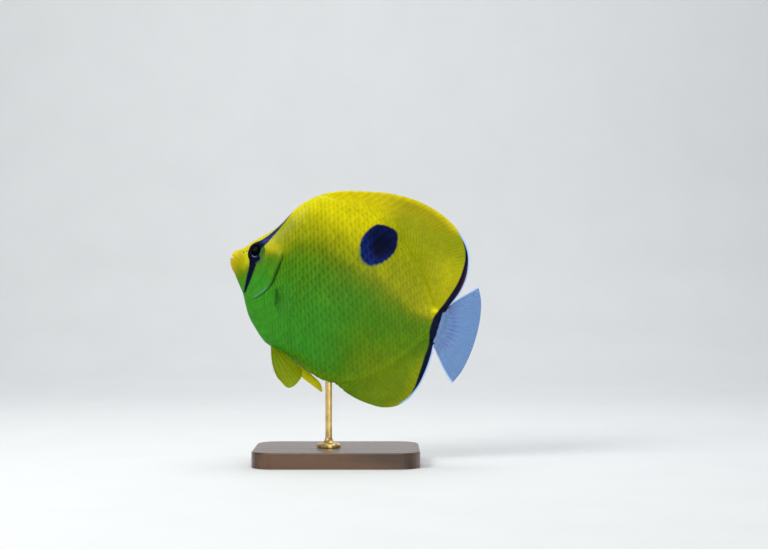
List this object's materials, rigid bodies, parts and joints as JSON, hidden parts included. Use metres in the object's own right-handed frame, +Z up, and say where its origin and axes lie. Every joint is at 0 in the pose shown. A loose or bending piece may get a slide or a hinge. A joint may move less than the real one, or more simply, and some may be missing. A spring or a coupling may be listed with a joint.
{
  "type": "yellow teardrop butterflyfish",
  "caption": "Still life-size model of a deep-bodied yellow reef fish with a dark eye bar and a teardrop spot high on its flank, fins spread, tipped head up on a rod over a wooden base.",
  "frame": {"origin": "centre of the stand base's underside", "axes": "+Z up, -X the way the fish faces, -Y towards its left side, which is the side that the picture shows"},
  "size_m": [0.146, 0.0708, 0.1578],
  "materials": {
    "skin": "painted yellow and green scales under satin varnish",
    "fin": "painted yellow fin membrane, satin",
    "clear_fin": "see-through pale blue fin membrane",
    "eye": "glossy black, polished",
    "wood": "dark wood, satin lacquer",
    "brass": "satin brass"
  },
  "bodies": {
    "root": {"head": "skin", "torso": "skin", "tail_base": "skin", "dorsal_fin_spiny": "fin", "dorsal_fin_soft": "fin", "anal_fin": "fin", "pelvic_fin_left": "fin", "pelvic_fin_right": "fin", "tail_fin": "clear_fin", "pectoral_fin_left": "clear_fin", "pectoral_fin_right": "clear_fin", "eye_left": "eye", "eye_right": "eye", "stand_base": "wood", "stand_rod": "brass"}
  },
  "joints": []
}
